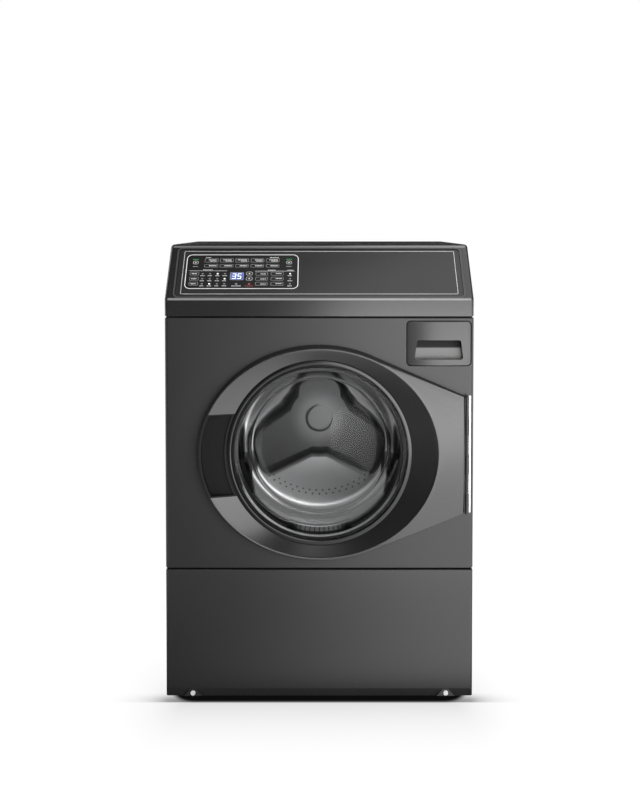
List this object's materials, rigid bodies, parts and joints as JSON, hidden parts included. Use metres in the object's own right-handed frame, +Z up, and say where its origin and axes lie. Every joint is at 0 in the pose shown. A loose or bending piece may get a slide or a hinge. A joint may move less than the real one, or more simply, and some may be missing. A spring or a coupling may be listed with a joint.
{
  "type": "front load washing machine",
  "caption": "Charcoal front load washing machine with a round glass door on a side hinge, sloped control console, detergent drawer, sprung tub and belt-driven drum.",
  "frame": {"origin": "on the floor under the middle of the overall box", "axes": "+Z up, -Y to the front of the machine, +X to the right seen from the front"},
  "size_m": [0.683, 0.705, 1.024],
  "materials": {
    "charcoal_paint": "satin charcoal enamel",
    "charcoal_plastic": "satin moulded charcoal",
    "galvanised": "galvanised sheet",
    "overlay": "printed black membrane",
    "window": "tinted clear window",
    "board": "circuit board",
    "white_plastic": "moulded white",
    "black_plastic": "moulded black",
    "gloss_black": "gloss black ring",
    "black_rubber": "moulded rubber",
    "bright_steel": "bright steel",
    "hinge_black": "black enamel",
    "white_screw": "white caps",
    "tub_plastic": "grey filled plastic",
    "cast_metal": "die-cast aluminium",
    "motor": "laminated stator and castings",
    "ballast": "cast ballast",
    "stainless": "stainless sheet",
    "keys": "key caps",
    "feet": "rubber pads on studs",
    "glass": "clear pressed glass"
  },
  "bodies": {
    "cabinet": {"base_frame": "galvanised", "cabinet_wrap": "charcoal_paint", "console_housing": "charcoal_plastic", "control_board": "board", "control_overlay": "overlay", "cord_gland": "black_plastic", "damper_cylinders": "hinge_black", "dispenser_housing": "white_plastic", "display_window": "window", "door_lock": "black_plastic", "drain_hose": "black_rubber", "drain_outlet": "black_plastic", "drain_pump": "black_plastic", "fill_hoses": "black_rubber", "front_panel": "charcoal_paint", "hinge_cabinet_leaf": "bright_steel", "hinge_pin": "bright_steel", "leveling_feet": "feet", "lower_front_panel": "charcoal_paint", "lower_panel_screws": "white_screw", "panel_screws": "bright_steel", "rear_access_cover": "galvanised", "spring_brace": "galvanised", "top_panel": "charcoal_paint", "water_valve": "white_plastic"},
    "tub": {"tub_rear": "tub_plastic", "tub_front": "tub_plastic", "bearing_housing": "cast_metal", "drum_bearings": "bright_steel", "shaft_seal": "black_rubber", "drive_belt": "black_rubber", "drive_motor": "motor", "counterweight": "ballast", "suspension_springs": "bright_steel", "damper_rods": "bright_steel", "dispenser_hose": "black_rubber", "sump_hose": "black_rubber", "door_gasket": "black_rubber"},
    "drum": {"basket": "stainless", "basket_back": "stainless", "baffles": "stainless", "drum_spider": "cast_metal", "drum_shaft": "bright_steel", "drum_pulley": "cast_metal"},
    "motor_rotor": {"motor_pulley": "cast_metal"},
    "pump_rotor": {"pump_impeller": "black_plastic"},
    "bolt": {"lock_bolt": "bright_steel"},
    "door": {"door_ring": "charcoal_plastic", "door_inner_frame": "black_plastic", "door_glass": "glass", "door_handle": "black_plastic", "door_bezel": "gloss_black", "hinge_door_leaf": "hinge_black", "door_strike": "bright_steel"},
    "drawer": {"drawer_front": "charcoal_plastic", "drawer_tray": "white_plastic"},
    "start": {"start_key": "keys"},
    "stop": {"stop_key": "keys"},
    "up": {"up_key": "keys"},
    "down": {"down_key": "keys"}
  },
  "joints": [
    {"name": "door_hinge", "type": "hinge", "parent": "cabinet", "child": "door", "pos_m": [0.325, -0.3355, 0.562], "axis": [0, 0, 1], "range_deg": [0, 150]},
    {"name": "drawer_slide", "type": "slide", "parent": "cabinet", "child": "drawer", "axis": [0, -1, 0], "range_m": [0, 0.17]},
    {"name": "tub_suspension", "type": "slide", "parent": "cabinet", "child": "tub", "axis": [0, 0, 1], "range_m": [-0.012, 0.012], "stiffness_N_per_m": 12000, "springref_m": 0.0548, "deforming": ["suspension_springs", "dispenser_hose", "sump_hose", "door_gasket"]},
    {"name": "drum_spin", "type": "hinge", "parent": "tub", "child": "drum", "pos_m": [0, 0, 0.566], "axis": [0, 1, 0], "continuous": true},
    {"name": "motor_spin", "type": "hinge", "parent": "tub", "child": "motor_rotor", "pos_m": [0.14, 0.26, 0.226], "axis": [0, 1, 0], "continuous": true},
    {"name": "pump_spin", "type": "hinge", "parent": "cabinet", "child": "pump_rotor", "pos_m": [-0.13, -0.02, 0.104], "axis": [0, 1, 0], "continuous": true},
    {"name": "lock_bolt_slide", "type": "slide", "parent": "cabinet", "child": "bolt", "axis": [1, 0, 0], "range_m": [0, 0.009]},
    {"name": "start_press", "type": "slide", "parent": "cabinet", "child": "start", "axis": [0, 0.7071, -0.7071], "range_m": [0, 0.0005], "stiffness_N_per_m": 800},
    {"name": "stop_press", "type": "slide", "parent": "cabinet", "child": "stop", "axis": [0, 0.7071, -0.7071], "range_m": [0, 0.0005], "stiffness_N_per_m": 800},
    {"name": "up_press", "type": "slide", "parent": "cabinet", "child": "up", "axis": [0, 0.7071, -0.7071], "range_m": [0, 0.0005], "stiffness_N_per_m": 800},
    {"name": "down_press", "type": "slide", "parent": "cabinet", "child": "down", "axis": [0, 0.7071, -0.7071], "range_m": [0, 0.0005], "stiffness_N_per_m": 800}
  ],
  "couplings": [
    {"joint": "motor_spin", "follows": "drum_spin", "ratio": 12.5}
  ]
}
